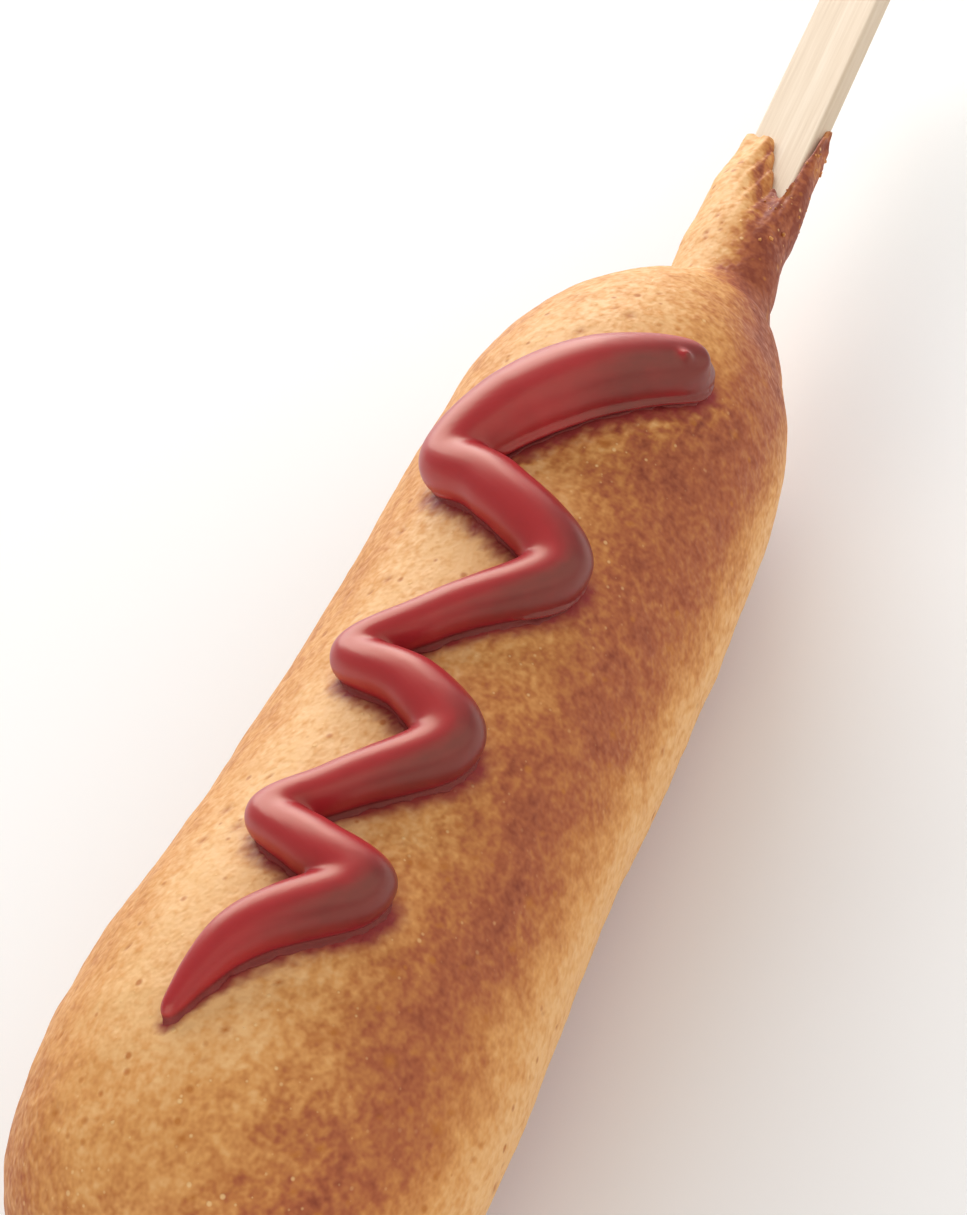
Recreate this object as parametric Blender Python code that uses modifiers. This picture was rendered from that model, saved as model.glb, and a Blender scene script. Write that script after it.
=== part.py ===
"""A corn dog lying on its side: fried batter dipped over a sausage on a flat wooden stick, with a
squeezed zigzag of ketchup along the top.

Units are metres, +Z is up. The stick runs along +X towards its free end. The batter's underside is
level, with a narrow flat strip that the corn dog lies on. The origin is under the middle of the
whole, at the lowest point.
"""

import math

import bpy
from mathutils import Vector
from mathutils.geometry import delaunay_2d_cdt

MM = 0.001

# Batter along the stick's axis. X = 0 is near the middle of the batter until centre_model() runs.
TIP_X = -84.5 * MM
THICK_X = -56.0 * MM  # the thickest section, where the rounded tip begins
SHOULDER_X = 23.3 * MM  # where the rounded shoulder begins
NECK_X = 52.0 * MM  # where the shoulder would close on the axis
# evenly spaced, thick end to shoulder
BARREL_RADII = (20.9 * MM, 19.9 * MM, 19.3 * MM, 19.0 * MM, 18.75 * MM)
TIP_ROUNDNESS = 2.5  # superellipse exponents: 2 is an ellipse, more is blunter
SHOULDER_ROUNDNESS = 1.82
SIDE_AT_SHOULDER = 2.45 * MM  # how far the batter's centre lies to +Y of the stick
SIDE_DRIFT = 0.5 * MM  # and how that grows towards the tip, straight
SIDE_BEND = 3.0 * MM  # and bent
FLAT_DEPTH = 0.25 * MM  # how much of the round underside the flat strip takes off
LUMP = 0.14 * MM  # the unevenness of a hand-dipped coat
LUMP_FREE_ANGLE = math.radians(24)  # none of it this close to the underside

# Collar: the sleeve of batter that climbs the stick, with a ragged rim
COLLAR_X = 52.0 * MM
COLLAR_HALF_WIDTHS = (6.7 * MM, 6.6 * MM, 5.9 * MM)  # across the stick's width: foot, middle, rim
COLLAR_HALF_HEIGHTS = (5.6 * MM, 5.6 * MM, 4.3 * MM)
COLLAR_MIDDLE = 0.5
COLLAR_SLIM_ANGLE = math.radians(221)  # the side where the collar is thinner
COLLAR_SLIM = 0.13
LIP_WALL = 0.9 * MM
# The rim's place along X at angles round the stick: 0 is its left edge seen along -X from above,
# 90 the top face, 180 the right edge. A V-shaped notch bares the stick at 130.
RIM = (
    (0, 81.0 * MM), (45, 81.5 * MM), (62, 80.5 * MM), (78, 79.5 * MM), (90, 77.0 * MM),
    (104, 73.0 * MM), (118, 69.5 * MM), (133, 67.5 * MM), (146, 70.0 * MM), (160, 75.5 * MM),
    (175, 80.5 * MM), (190, 82.5 * MM), (205, 80.0 * MM), (230, 77.5 * MM), (270, 76.0 * MM),
    (315, 78.0 * MM),
)

# Stick: a flat birch stick with round ends, rolled a little towards +Y
STICK_WIDTH = 9.0 * MM
STICK_THICKNESS = 2.5 * MM
STICK_LENGTH = 140.0 * MM
STICK_END_X = 133.0 * MM
STICK_EDGE = 0.35 * MM
STICK_ROLL = math.radians(-15.6)
GAP = 0.3 * MM  # between touching pieces

# Ketchup: the middle of the bead as (X, distance round the batter from its top towards +Y),
# with the bead's half width there
BEAD = (
    (24.3, -11.3, 3.2), (16.0, -1.4, 4.1), (4.9, 5.4, 3.3), (0.85, -0.3, 3.2), (-6.4, -9.0, 3.2),
    (-16.0, -1.5, 2.5), (-22.0, 4.1, 2.5), (-25.2, -3.3, 2.9), (-30.1, -8.0, 3.1), (-38.0, -1.8, 2.5),
    (-42.6, 2.2, 2.4), (-45.5, -3.3, 2.9), (-48.2, -7.9, 3.2), (-56.0, -1.3, 2.4), (-64.0, 1.5, 1.1),
)
BEAD_HEIGHT = 1.36  # of its half width
BEAD_TALLEST = 4.8 * MM
BEAD_STEP = 1.35 * MM
BEAD_LEVELS = (0.92, 0.72, 0.42)  # rings of points at these shares of the half width
BEAD_CLEAR = 0.15 * MM  # no two points closer than this

COLUMNS = 48  # faces round the batter; a multiple of 8 puts a column on each corner of the socket
TIP_RINGS = 9
BARREL_RINGS = 21
SHOULDER_RINGS = 10
COLLAR_RINGS = 7


def smooth_through(values, t):
    """A smooth curve through evenly spaced values, at t from 0 to 1, level at both ends."""
    place = min(max(t, 0.0), 1.0) * (len(values) - 1)
    i = min(int(place), len(values) - 2)
    f = place - i
    before = values[i - 1] if i > 0 else values[i + 1]
    after = values[i + 2] if i + 2 < len(values) else values[i]
    a, b = values[i], values[i + 1]
    return 0.5 * (
        2 * a
        + (b - before) * f
        + (2 * before - 5 * a + 4 * b - after) * f * f
        + (3 * a - before - 3 * b + after) * f**3
    )


def barrel_radius(x):
    """The batter's radius before its ends round off."""
    return smooth_through(BARREL_RADII, (x - THICK_X) / (SHOULDER_X - THICK_X))


def round_off(t, roundness):
    """A superellipse's height at t, from 1 at its middle to 0 at its end."""
    return max(0.0, 1.0 - min(max(t, 0.0), 1.0) ** roundness) ** (1.0 / roundness)


def batter_radius(x):
    tip = round_off((THICK_X - x) / (THICK_X - TIP_X), TIP_ROUNDNESS)
    shoulder = round_off((x - SHOULDER_X) / (NECK_X - SHOULDER_X), SHOULDER_ROUNDNESS)
    return barrel_radius(x) * tip * shoulder


def batter_centre(x):
    """(Y, Z) of the batter's middle: it bends aside towards the tip, and its underside is level."""
    u = (NECK_X - x) / (NECK_X - TIP_X)
    side = SIDE_AT_SHOULDER + SIDE_DRIFT * u + SIDE_BEND * u * u
    return side, barrel_radius(x) - BARREL_RADII[-1]


def lump(x, angle):
    """How far the coat stands proud at this place; angle is from the top towards +Y."""
    wave = (
        math.sin(x / (10 * MM) + 2 * angle - 0.7)
        + 0.8 * math.sin(x / (8.6 * MM) - 3 * angle + 2.0)
        + 0.4 * math.cos(x / (4.6 * MM) + 5 * angle)
    )
    from_bottom = abs(math.remainder(angle - math.pi, 2 * math.pi))
    fade = min(max((from_bottom - LUMP_FREE_ANGLE) / LUMP_FREE_ANGLE, 0.0), 1.0)
    return LUMP * wave * fade


def on_batter(x, arc, height):
    """The point at this height over the batter, arc round it from the top towards +Y."""
    radius = batter_radius(x)
    angle = arc / radius
    out = radius + lump(x, angle) + height
    y, z = batter_centre(x)
    return Vector((x, y + out * math.sin(angle), z + out * math.cos(angle)))


def rolled(y, z):
    """From the stick's own section to the world's (Y, Z)."""
    c, s = math.cos(STICK_ROLL), math.sin(STICK_ROLL)
    return y * c - z * s, y * s + z * c


def rim_x(angle):
    """The rim's place along X at this angle round the stick, smooth through RIM."""
    degrees = math.degrees(angle) % 360
    n = len(RIM)
    for i in range(n):
        start, end = RIM[i][0], RIM[(i + 1) % n][0] + (360 if i == n - 1 else 0)
        if start <= degrees <= end:
            f = (degrees - start) / (end - start)
            f = f * f * (3 - 2 * f)
            return RIM[i][1] + (RIM[(i + 1) % n][1] - RIM[i][1]) * f
    raise ValueError("angle outside the rim")


def socket_point(angle):
    """The stick's section with a gap round it, in the stick's own axes."""
    half_width, half_height = STICK_WIDTH / 2 + GAP, STICK_THICKNESS / 2 + GAP
    c, s = math.cos(angle), math.sin(angle)
    far = max(abs(c), abs(s))
    return half_width * c / far, half_height * s / far


def lip_point(angle, wall):
    """The socket's section moved out by a wall."""
    y, z = socket_point(angle)
    ny, nz = math.cos(angle) / STICK_WIDTH, math.sin(angle) / STICK_THICKNESS
    length = math.hypot(ny, nz)
    return y + wall * ny / length, z + wall * nz / length


def blend(a, b, t):
    return a + (b - a) * t


def batter_rings():
    """The batter's outer rings and then its socket's, tip to rim to the socket's end. Each ring is a
    list of points, one per column."""
    angles = [2 * math.pi * i / COLUMNS for i in range(COLUMNS)]

    def round_ring(x, radius, centre_y, centre_z):
        ring = []
        for angle in angles:
            y, z = rolled(math.cos(angle), math.sin(angle))
            out = radius + lump(x, math.atan2(y, z)) * min(1.0, radius / (10 * MM))
            ring.append(Vector((x, centre_y + out * y, centre_z + out * z)))
        return ring

    rings = []
    for i in range(1, TIP_RINGS):
        turn = math.pi / 2 * i / TIP_RINGS
        x = THICK_X - (THICK_X - TIP_X) * math.cos(turn) ** (2 / TIP_ROUNDNESS)
        rings.append(round_ring(x, batter_radius(x), *batter_centre(x)))
    for i in range(BARREL_RINGS):
        x = blend(THICK_X, SHOULDER_X, i / BARREL_RINGS)
        rings.append(round_ring(x, batter_radius(x), *batter_centre(x)))
    neck_radius = COLLAR_HALF_WIDTHS[0] + 0.8 * MM
    full = 1 - (neck_radius / BARREL_RADII[-1]) ** SHOULDER_ROUNDNESS
    last_turn = math.asin(min(1.0, full ** 0.5))
    for i in range(SHOULDER_RINGS + 1):
        turn = last_turn * i / SHOULDER_RINGS
        x = SHOULDER_X + (NECK_X - SHOULDER_X) * math.sin(turn) ** (2 / SHOULDER_ROUNDNESS)
        radius = batter_radius(x)
        y, z = batter_centre(x)
        to_stick = min(1.0, max(0.0, (14 * MM - radius) / (14 * MM - neck_radius)))
        rings.append(round_ring(x, radius, y * (1 - to_stick), z))
    for i in range(COLLAR_RINGS + 1):
        v = i / COLLAR_RINGS
        rings.append([collar_point(angle, v) for angle in angles])
    rings.append([lip(angle, LIP_WALL * 0.75, 0.35 * MM) for angle in angles])
    rings.append([lip(angle, LIP_WALL * 0.25, 0.35 * MM) for angle in angles])
    for back in (0.5 * MM, 4.0 * MM):
        rings.append([lip(angle, 0.0, -back) for angle in angles])
    socket_end = STICK_END_X - STICK_LENGTH - GAP
    for x in (COLLAR_X, blend(COLLAR_X, socket_end, 0.5), socket_end):
        rings.append([Vector((x, *rolled(*socket_point(angle)))) for angle in angles])
    return rings


def collar_point(angle, v):
    """A point of the collar's outside, v from 0 at its foot to 1 at its rim."""
    half_width = smooth_through(COLLAR_HALF_WIDTHS, v)
    half_height = smooth_through(COLLAR_HALF_HEIGHTS, v)
    y, z = half_width * math.cos(angle), half_height * math.sin(angle)
    thin = max(0.0, (v - COLLAR_MIDDLE) / (1 - COLLAR_MIDDLE)) ** 2.5
    lip_y, lip_z = lip_point(angle, LIP_WALL)
    y, z = blend(y, lip_y, thin), blend(z, lip_z, thin)
    x = blend(COLLAR_X, rim_x(angle), v)
    ripple = 1 + 0.02 * math.sin(3 * angle + x / (3 * MM)) * v * (1 - v) * 4
    slim_here = max(0.0, math.sin(math.pi * min(1.0, v))) ** 0.7
    ripple -= COLLAR_SLIM * slim_here * math.exp(3 * (math.cos(angle - COLLAR_SLIM_ANGLE) - 1))
    return Vector((x, *rolled(y * ripple, z * ripple)))


def lip(angle, wall, forward):
    y, z = lip_point(angle, wall)
    return Vector((rim_x(angle) + forward, *rolled(y, z)))


def mesh_object(name, points, faces, material, collection):
    mesh = bpy.data.meshes.new(name)
    mesh.from_pydata([tuple(p) for p in points], [], faces)
    mesh.validate()
    mesh.shade_smooth()
    mesh.materials.append(material)
    made = bpy.data.objects.new(name, mesh)
    collection.objects.link(made)
    return made


def make_batter(material, collection):
    """One closed loft: body, collar, rim and the blind socket that the stick sits in."""
    rings = batter_rings()
    floor = -BARREL_RADII[-1] + FLAT_DEPTH
    points = [p for ring in rings for p in ring]
    for p in points:
        p.z = max(p.z, floor)
    faces = []
    for r in range(len(rings) - 1):
        for c in range(COLUMNS):
            d = (c + 1) % COLUMNS
            faces.append((r * COLUMNS + c, r * COLUMNS + d, (r + 1) * COLUMNS + d, (r + 1) * COLUMNS + c))
    tip = len(points)
    y, z = batter_centre(TIP_X)
    points.append(Vector((TIP_X, y, z)))
    socket_end = len(points)
    points.append(Vector((rings[-1][0].x, 0.0, 0.0)))
    last = (len(rings) - 1) * COLUMNS
    for c in range(COLUMNS):
        d = (c + 1) % COLUMNS
        faces.append((tip, d, c))
        faces.append((socket_end, last + c, last + d))
    batter = mesh_object("batter", points, faces, material, collection)
    batter.data.set_sharp_from_angle(angle=math.radians(50))
    return batter


def make_stick(material, collection):
    """A flat outline with two round ends, as thick as the stick, with its edges softened."""
    half, reach = STICK_WIDTH / 2, STICK_LENGTH - STICK_WIDTH
    curve = bpy.data.curves.new("stick", "CURVE")
    curve.dimensions = "2D"
    curve.fill_mode = "BOTH"
    curve.extrude = STICK_THICKNESS / 2
    curve.resolution_u = 5
    spline = curve.splines.new("BEZIER")
    corners = ((0, -half), (reach, -half), (reach + half, 0), (reach, half), (0, half), (-half, 0))
    along = (1, 1, 0, -1, -1, 0)
    across = (0, 0, 1, 0, 0, -1)
    handle = half * 0.5523
    spline.bezier_points.add(len(corners) - 1)
    for point, (x, y), ax, ay in zip(spline.bezier_points, corners, along, across):
        point.co = (x, y, 0)
        point.handle_left = (x - handle * ax, y - handle * ay, 0)
        point.handle_right = (x + handle * ax, y + handle * ay, 0)
    spline.use_cyclic_u = True
    curve.materials.append(material)
    stick = bpy.data.objects.new("stick", curve)
    stick.location = (STICK_END_X - STICK_LENGTH + half, 0, 0)
    stick.rotation_euler = (STICK_ROLL, 0, 0)
    collection.objects.link(stick)
    weld = stick.modifiers.new("weld caps", "WELD")
    weld.merge_threshold = 0.00001
    soften = stick.modifiers.new("soft edges", "BEVEL")
    soften.width = STICK_EDGE
    soften.segments = 2
    soften.limit_method = "ANGLE"
    soften.angle_limit = math.radians(50)
    return stick


def bead_line():
    """Points along the bead's middle with its half width, evenly spaced: (X, arc, half width)."""
    knots = [Vector(k) * MM for k in BEAD]
    fine = []
    per_span = 24
    for i in range((len(knots) - 1) * per_span + 1):
        t = i / ((len(knots) - 1) * per_span)
        fine.append(Vector([smooth_through([k[axis] for k in knots], t) for axis in range(3)]))
    line, walked = [fine[0]], 0.0
    for a, b in zip(fine, fine[1:]):
        walked += (b.xy - a.xy).length
        if walked >= BEAD_STEP:
            line.append(b)
            walked = 0.0
    return line


def bead_share(place, line):
    """How far a place is from the bead's middle, as a share of the half width there."""
    return min((place - p.xy).length / p.z for p in line)


def bead_ring(line, share):
    """The ring of places at this share of the half width, round both ends of the bead. Places that
    another stroke of the zigzag covers are left out."""
    sides = ([], [])
    for i, p in enumerate(line):
        ahead = line[min(i + 1, len(line) - 1)].xy - line[max(i - 1, 0)].xy
        across = Vector((-ahead.y, ahead.x)).normalized() * p.z * share
        sides[0].append(p.xy + across)
        sides[1].append(p.xy - across)

    def cap(middle, start, steps):
        """Places round an end, from start to its opposite side."""
        arm = start - middle
        turns = (math.pi * k / steps for k in range(1, steps))
        return [middle + Vector((arm.x * math.cos(a) + arm.y * math.sin(a),
                                 arm.y * math.cos(a) - arm.x * math.sin(a))) for a in turns]

    steps = 6 if share > 0.5 else 3
    ring = sides[0] + cap(line[-1].xy, sides[0][-1], 3)
    ring += sides[1][::-1] + cap(line[0].xy, sides[1][0], steps)
    return [place for place in ring if bead_share(place, line) > share - 0.02]


def clear_of(places, others, distance):
    return [p for p in places if min((p - other).length for other in others) > distance]


def make_ketchup(material, collection):
    """A thick round-topped bead of even flow, squeezed in a zigzag along the top of the batter."""
    line = bead_line()
    outline = bead_ring(line, 1.0)
    places = outline + [p.xy for p in line]
    for share in BEAD_LEVELS:
        places += clear_of(bead_ring(line, share), places, BEAD_CLEAR)
    edges = [(i, (i + 1) % len(outline)) for i in range(len(outline))]
    places, _, triangles, _, _, _ = delaunay_2d_cdt(places, edges, [], 1, 0.00001)
    border = set()
    seen = {}
    for triangle in triangles:
        for a, b in zip(triangle, triangle[1:] + triangle[:1]):
            seen[frozenset((a, b))] = seen.get(frozenset((a, b)), 0) + 1
    for edge, count in seen.items():
        if count == 1:
            border |= edge

    tops, undersides, under = [], [], {}
    for i, place in enumerate(places):
        nearest = min(line, key=lambda p: (place - p.xy).length / p.z)
        share = min(1.0, (place - nearest.xy).length / nearest.z)
        rise = min(BEAD_HEIGHT * nearest.z, BEAD_TALLEST) * (1 - share**2.2) ** 0.5
        tops.append(on_batter(place.x, place.y, GAP if i in border else GAP + rise))
    for i, place in enumerate(places):
        if i in border:
            under[i] = i
        else:
            under[i] = len(tops) + len(undersides)
            undersides.append(on_batter(place.x, place.y, GAP))
    faces = [tuple(t) for t in triangles]
    faces += [tuple(under[i] for i in reversed(t)) for t in triangles]
    return mesh_object("ketchup", tops + undersides, faces, material, collection)


def food_material(name, colour, roughness):
    material = bpy.data.materials.new(name)
    material.use_nodes = True
    shader = material.node_tree.nodes["Principled BSDF"]
    shader.inputs["Base Color"].default_value = (*colour, 1.0)
    shader.inputs["Roughness"].default_value = roughness
    shader.inputs["Metallic"].default_value = 0.0
    return material


def centre_model(parts):
    """Moves everything so that the origin is under the middle of the whole."""
    bpy.context.view_layer.update()
    graph = bpy.context.evaluated_depsgraph_get()
    corners = []
    for part in parts:
        shape = part.evaluated_get(graph)
        mesh = shape.to_mesh()
        corners += [shape.matrix_world @ v.co for v in mesh.vertices]
        shape.to_mesh_clear()
    low = Vector([min(c[axis] for c in corners) for axis in range(3)])
    high = Vector([max(c[axis] for c in corners) for axis in range(3)])
    shift = Vector((-(low.x + high.x) / 2, -(low.y + high.y) / 2, -low.z))
    for part in parts:
        part.location += shift


def main():
    for old in list(bpy.data.objects):
        bpy.data.objects.remove(old)
    collection = bpy.data.collections.new("corn dog")
    bpy.context.scene.collection.children.link(collection)
    crust = food_material("fried batter", (0.56, 0.29, 0.095), 0.6)
    sauce = food_material("ketchup", (0.40, 0.035, 0.035), 0.25)
    wood = food_material("birch", (0.87, 0.76, 0.60), 0.7)
    parts = [
        make_batter(crust, collection),
        make_stick(wood, collection),
        make_ketchup(sauce, collection),
    ]
    centre_model(parts)


main()
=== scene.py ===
"""The looks of a corn dog that lies on its side: fried crust, ketchup, birch stick and crumbs, on a
plain stage. Run as a script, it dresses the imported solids. Registered, it lists its steps in the 3D
view's sidebar."""

import math
import random

import bmesh
import bpy
import numpy as np
from bpy.props import FloatProperty, FloatVectorProperty, IntProperty, PointerProperty
from mathutils import Matrix, Vector, kdtree, noise


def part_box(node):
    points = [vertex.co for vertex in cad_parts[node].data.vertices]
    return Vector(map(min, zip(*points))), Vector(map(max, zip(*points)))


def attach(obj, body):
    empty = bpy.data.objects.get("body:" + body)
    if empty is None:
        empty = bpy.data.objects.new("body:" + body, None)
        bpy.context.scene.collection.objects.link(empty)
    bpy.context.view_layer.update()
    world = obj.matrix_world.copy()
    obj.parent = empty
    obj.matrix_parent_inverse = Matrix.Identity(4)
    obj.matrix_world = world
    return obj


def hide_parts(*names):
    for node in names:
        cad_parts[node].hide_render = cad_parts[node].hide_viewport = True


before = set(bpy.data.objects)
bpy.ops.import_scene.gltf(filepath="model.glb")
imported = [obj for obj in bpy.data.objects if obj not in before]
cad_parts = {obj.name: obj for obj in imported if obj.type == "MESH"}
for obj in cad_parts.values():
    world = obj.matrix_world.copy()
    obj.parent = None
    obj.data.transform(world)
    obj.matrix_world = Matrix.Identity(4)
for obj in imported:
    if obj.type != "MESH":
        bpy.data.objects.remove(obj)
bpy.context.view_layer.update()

bl_info = {
    "name": "Corn dog",
    "version": (1, 0, 0),
    "blender": (4, 5, 0),
    "location": "3D View > Sidebar > Corn dog",
    "description": "Dresses a corn dog's solids with crust, ketchup, stick and crumbs",
    "category": "Object",
}

BODY = "root"
MM = 0.001

# The corn dog's own sizes, in millimetres. X runs along the stick's axis to its free end, with X = 0
# near the middle of the batter; Y and Z are measured from the axis.
TIP_X = -84.5
THICK_X = -56.0
SHOULDER_X = 23.3
NECK_X = 52.0
BARREL_RADII = (20.9, 19.9, 19.3, 19.0, 18.75)  # evenly spaced, thick end to shoulder
TIP_ROUNDNESS = 2.5
SHOULDER_ROUNDNESS = 1.82
SIDE_AT_SHOULDER = 2.45
SIDE_DRIFT = 0.5
SIDE_BEND = 3.0
LUMP = 0.14
LUMP_FREE_ANGLE = math.radians(24)  # either side of the bottom, so that it lies flat
FLOOR_GAP = 0.01  # how far the underside stays off the floor

COLLAR_X = 52.0
COLLAR_HALF_WIDTHS = (6.7, 6.6, 5.9)
COLLAR_HALF_HEIGHTS = (5.6, 5.6, 4.3)
COLLAR_MIDDLE = 0.5
COLLAR_LENGTH = 30.0  # at its longest, from its foot to its rim
COLLAR_SLIM = 0.13  # how much thinner it is, at most, at one side
COLLAR_SLIM_ANGLE = math.radians(221)
RIM_DEGREES = (0, 45, 62, 78, 90, 104, 118, 133, 146, 160, 175, 190, 205, 230, 270, 315, 360)
RIM_X = (81.0, 81.5, 80.5, 79.5, 77.0, 73.0, 69.5, 67.5, 70.0, 75.5, 80.5, 82.5, 80.0, 77.5, 76.0, 78.0, 81.0)

LIP_WALL = 0.9
LIP_EDGE = ((0.8, 0.28), (0.45, 0.38), (0.15, 0.22))  # shares of the wall and how far past the rim
LIP_BACK = (0.0, -1.2, -4.0)  # the lip's inside, which clings to the stick, from the rim
LIP_CLING = 0.05
PIT_FREE_RINGS = 7  # rings by the rim without burst bubbles
NECK_RADIUS = COLLAR_HALF_WIDTHS[0] + 0.8
SOCKET_GAP = 0.3

STICK_WIDTH = 9.0
STICK_THICKNESS = 2.5
STICK_LENGTH = 140.0
STICK_END_X = 133.0
STICK_ROLL = math.radians(-15.6)

# The ketchup's middle line: X, distance round the batter from its top towards +Y, half width
BEAD = (
    (24.3, -11.3, 3.2), (16.0, -1.4, 4.2), (4.9, 5.4, 3.3), (0.85, -0.3, 3.2), (-6.4, -9.0, 3.2),
    (-16.0, -1.5, 2.5), (-22.0, 4.1, 2.5), (-25.2, -3.3, 2.9), (-30.1, -8.0, 3.1), (-38.0, -1.8, 2.5),
    (-42.6, 2.2, 2.4), (-45.5, -3.3, 2.9), (-48.2, -7.9, 3.2), (-56.0, -1.3, 2.4), (-64.2, 1.6, 0.8),
)
BEAD_HEIGHT = 1.4  # of its half width
BEAD_FATTEST = 0.26  # how far up it is widest, of its height
SLID_TO = (-0.8, -0.6)  # the way that it sagged, in X and arc
# on this side the crust beside the bead also carries painted shadow from the ketchup
WETTED_AND_SHADED_TO = (-0.85, -0.5)  # the side on which it wetted the crust

CAMERA_AT = (-160.5, -96.5, 198.8)
CAMERA_AIM = (3.1, 9.2, 0.0)
CAMERA_ROLL = math.radians(-15.9)
CAMERA_LENS = 79.64
CAMERA_SENSOR = 36.0
FLOOR_HALF = 3.0  # metres


def stick_axis_origin():
    """Where X = 0 on the stick's axis lies in the frame, in metres."""
    low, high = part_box("stick")
    return np.array((high.x - STICK_END_X * MM, (low.y + high.y) / 2, (low.z + high.z) / 2))


ORIGIN = stick_axis_origin()


def in_frame(points):
    """From millimetres along and round the stick's axis to the frame's metres."""
    return np.asarray(points) * MM + ORIGIN


# ---------------------------------------------------------------- shape of the batter


def smooth_through(values, t):
    """A smooth curve through evenly spaced values at each t from 0 to 1, level at both ends."""
    values = np.asarray(values, float)
    padded = np.concatenate([values[1:2], values, values[-1:]])
    place = np.clip(t, 0, 1) * (len(values) - 1)
    i = np.minimum(place.astype(int), len(values) - 2)
    f = place - i
    before, a, b, after = padded[i], padded[i + 1], padded[i + 2], padded[i + 3]
    return 0.5 * (
        2 * a
        + (b - before) * f
        + (2 * before - 5 * a + 4 * b - after) * f**2
        + (3 * a - before - 3 * b + after) * f**3
    )


def barrel_radius(x):
    """The radius that the tip and the shoulder are rounded off from."""
    return smooth_through(BARREL_RADII, (x - THICK_X) / (SHOULDER_X - THICK_X))


def round_off(t, roundness):
    """A superellipse's height at t, from 1 at its middle to 0 at its end."""
    return (1 - np.clip(t, 0, 1) ** roundness) ** (1 / roundness)


def batter_radius(x):
    """The batter's radius from its tip to its neck."""
    tip = round_off((THICK_X - x) / (THICK_X - TIP_X), TIP_ROUNDNESS)
    shoulder = round_off((x - SHOULDER_X) / (NECK_X - SHOULDER_X), SHOULDER_ROUNDNESS)
    return barrel_radius(x) * tip * shoulder


def batter_centre(x):
    """(Y, Z) of the batter's middle."""
    u = (NECK_X - x) / (NECK_X - TIP_X)
    return SIDE_AT_SHOULDER + SIDE_DRIFT * u + SIDE_BEND * u * u, barrel_radius(x) - BARREL_RADII[-1]


def lump(x, angle):
    """How far the coat stands proud; angle is from the top towards +Y."""
    wave = np.sin(x / 10 + 2 * angle - 0.7)
    wave = wave + 0.8 * np.sin(x / 8.6 - 3 * angle + 2.0) + 0.4 * np.cos(x / 4.6 + 5 * angle)
    from_bottom = np.pi - np.abs(np.remainder(angle + np.pi, 2 * np.pi) - np.pi)
    return LUMP * wave * np.clip((from_bottom - LUMP_FREE_ANGLE) / LUMP_FREE_ANGLE, 0, 1)


def on_batter(x, arc, height):
    """Points at these heights over the batter, arc round it from the top towards +Y."""
    radius = batter_radius(x)
    angle = arc / radius
    out = radius + lump(x, angle) + height
    y, z = batter_centre(x)
    return np.stack([x, y + out * np.sin(angle), z + out * np.cos(angle)], -1)


def rolled(y, z):
    """From the stick's own section to (Y, Z)."""
    c, s = math.cos(STICK_ROLL), math.sin(STICK_ROLL)
    return y * c - z * s, y * s + z * c


def rolled_back(y, z):
    """From (Y, Z) to the stick's own section."""
    c, s = math.cos(STICK_ROLL), math.sin(STICK_ROLL)
    return y * c + z * s, -y * s + z * c


def angle_from_top(points):
    """Angles round the batter from its top towards +Y, for points in millimetres."""
    centre_y, centre_z = batter_centre(points[:, 0])
    return np.arctan2(points[:, 1] - centre_y, points[:, 2] - centre_z)


def rim_x(angle):
    """The rim's place along X at angles round the stick."""
    degrees = np.degrees(angle) % 360
    i = np.clip(np.searchsorted(RIM_DEGREES, degrees, side="right") - 1, 0, len(RIM_DEGREES) - 2)
    start, end = np.take(RIM_DEGREES, i), np.take(RIM_DEGREES, i + 1)
    f = (degrees - start) / (end - start)
    f = f * f * (3 - 2 * f)
    return np.take(RIM_X, i) * (1 - f) + np.take(RIM_X, i + 1) * f


def socket_point(angle, gap):
    """The stick's section with a gap round it, in the stick's own axes."""
    c, s = np.cos(angle), np.sin(angle)
    far = np.maximum(np.abs(c), np.abs(s))
    return (STICK_WIDTH / 2 + gap) * c / far, (STICK_THICKNESS / 2 + gap) * s / far


def lip_point(angle, wall):
    """The stick's section moved out by a wall."""
    y, z = socket_point(angle, 0.0)
    ny, nz = np.cos(angle) / STICK_WIDTH, np.sin(angle) / STICK_THICKNESS
    length = np.hypot(ny, nz)
    return y + wall * ny / length, z + wall * nz / length


# ---------------------------------------------------------------- meshes and materials in general


def linear(sheet):
    """A colour of six hex digits as linear red, green and blue."""
    shares = [int(sheet[i : i + 2], 16) / 255 for i in (0, 2, 4)]
    return tuple(s / 12.92 if s <= 0.04045 else ((s + 0.055) / 1.055) ** 2.4 for s in shares)


def per_mm(size):
    """A texture's scale for features of this size in millimetres, on coordinates in metres."""
    return 1 / (size * MM)


def add(tree, kind, inputs=None, gives=0, stops=None, **settings):
    """Adds a node with its settings, its ramp's stops and what each input holds: a value or an output.
    It returns the node's output."""
    made = tree.nodes.new("ShaderNode" + kind)
    for name, value in settings.items():
        setattr(made, name, value)
    for key, value in (inputs or {}).items():
        if isinstance(value, bpy.types.NodeSocket):
            tree.links.new(value, made.inputs[key])
        else:
            made.inputs[key].default_value = value
    for i, (place, colour) in enumerate(stops or ()):
        elements = made.color_ramp.elements
        element = elements[i] if i < 2 else elements.new(place)
        element.position = place
        element.color = (*colour, 1.0)
    return made.outputs[gives] if made.outputs else None


def new_material(name):
    """An empty material with its tree and object coordinates."""
    material = bpy.data.materials.new(name)
    material.use_nodes = True
    tree = material.node_tree
    tree.nodes.clear()
    return material, tree, add(tree, "TexCoord", gives="Object")


def new_piece(name, points, faces, material):
    """A smooth mesh object from points in the frame's metres."""
    mesh = bpy.data.meshes.new(name)
    mesh.from_pydata(np.asarray(points).tolist(), [], faces)
    mesh.update()
    mesh.shade_smooth()
    mesh.materials.append(material)
    piece = bpy.data.objects.new(name, mesh)
    bpy.context.scene.collection.objects.link(piece)
    return piece


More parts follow.
